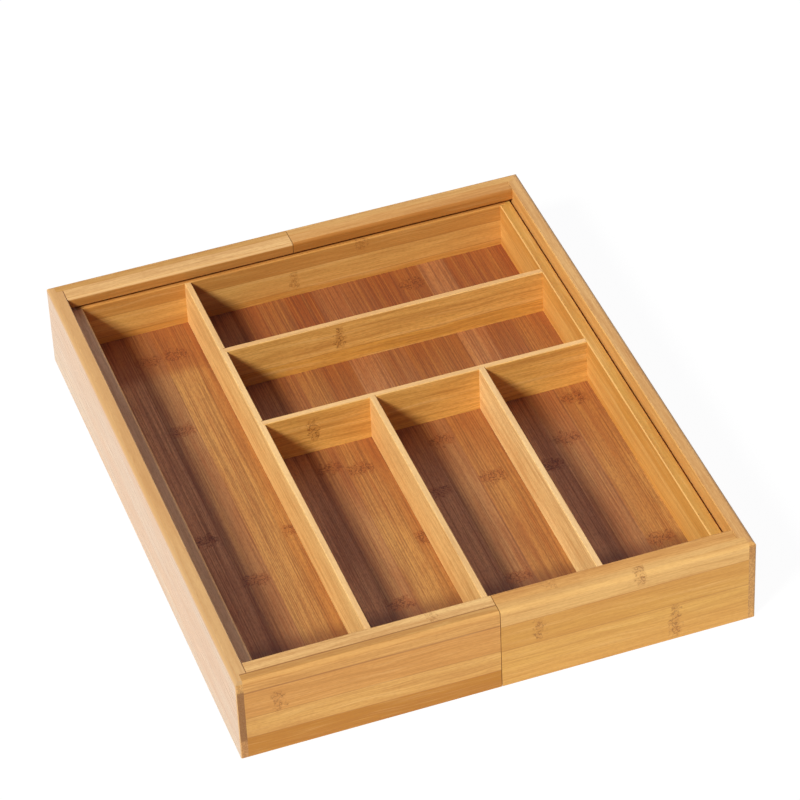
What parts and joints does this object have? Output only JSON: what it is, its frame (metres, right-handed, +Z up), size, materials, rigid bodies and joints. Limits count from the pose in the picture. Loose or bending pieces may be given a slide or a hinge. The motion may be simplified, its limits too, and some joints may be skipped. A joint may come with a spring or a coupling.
{
  "type": "extendable cutlery tray",
  "caption": "Wooden drawer tray for cutlery: a divided centre tray held under the lips of two U-shaped wings that slide outward to open a further compartment on each side.",
  "frame": {"origin": "middle of the closed footprint, on the surface the tray stands on", "axes": "+X to the right and along the sliding travel, +Y to the back of the drawer, along the long compartments, +Z up"},
  "size_m": [0.35, 0.428, 0.064],
  "materials": {
    "centre_left_wall": "satin, lightly lacquered laminated bamboo",
    "centre_right_wall": "satin, lightly lacquered laminated bamboo",
    "centre_front_wall": "satin, lightly lacquered laminated bamboo",
    "centre_back_wall": "satin, lightly lacquered laminated bamboo",
    "centre_floor": "satin, lightly lacquered laminated bamboo",
    "long_divider": "satin, lightly lacquered laminated bamboo",
    "rear_cross_divider": "satin, lightly lacquered laminated bamboo",
    "front_cross_divider": "satin, lightly lacquered laminated bamboo",
    "left_short_divider": "satin, lightly lacquered laminated bamboo",
    "right_short_divider": "satin, lightly lacquered laminated bamboo",
    "left_wing_side_wall": "satin, lightly lacquered laminated bamboo",
    "left_wing_front_board": "satin, lightly lacquered laminated bamboo",
    "left_wing_back_board": "satin, lightly lacquered laminated bamboo",
    "left_wing_front_rail": "satin, lightly lacquered laminated bamboo",
    "left_wing_back_rail": "satin, lightly lacquered laminated bamboo",
    "left_wing_floor": "satin, lightly lacquered laminated bamboo",
    "right_wing_side_wall": "satin, lightly lacquered laminated bamboo",
    "right_wing_front_board": "satin, lightly lacquered laminated bamboo",
    "right_wing_back_board": "satin, lightly lacquered laminated bamboo",
    "right_wing_front_rail": "satin, lightly lacquered laminated bamboo",
    "right_wing_back_rail": "satin, lightly lacquered laminated bamboo",
    "right_wing_floor": "satin, lightly lacquered laminated bamboo"
  },
  "bodies": {
    "centre_tray": {"centre_left_wall": "centre_left_wall", "centre_right_wall": "centre_right_wall", "centre_front_wall": "centre_front_wall", "centre_back_wall": "centre_back_wall", "centre_floor": "centre_floor", "long_divider": "long_divider", "rear_cross_divider": "rear_cross_divider", "front_cross_divider": "front_cross_divider", "left_short_divider": "left_short_divider", "right_short_divider": "right_short_divider"},
    "left_wing": {"left_wing_side_wall": "left_wing_side_wall", "left_wing_front_board": "left_wing_front_board", "left_wing_back_board": "left_wing_back_board", "left_wing_front_rail": "left_wing_front_rail", "left_wing_back_rail": "left_wing_back_rail", "left_wing_floor": "left_wing_floor"},
    "right_wing": {"right_wing_side_wall": "right_wing_side_wall", "right_wing_front_board": "right_wing_front_board", "right_wing_back_board": "right_wing_back_board", "right_wing_front_rail": "right_wing_front_rail", "right_wing_back_rail": "right_wing_back_rail", "right_wing_floor": "right_wing_floor"}
  },
  "joints": [
    {"name": "left_wing_slide", "type": "slide", "parent": "centre_tray", "child": "left_wing", "axis": [-1, 0, 0], "range_m": [0, 0.115]},
    {"name": "right_wing_slide", "type": "slide", "parent": "centre_tray", "child": "right_wing", "axis": [1, 0, 0], "range_m": [0, 0.115]}
  ]
}
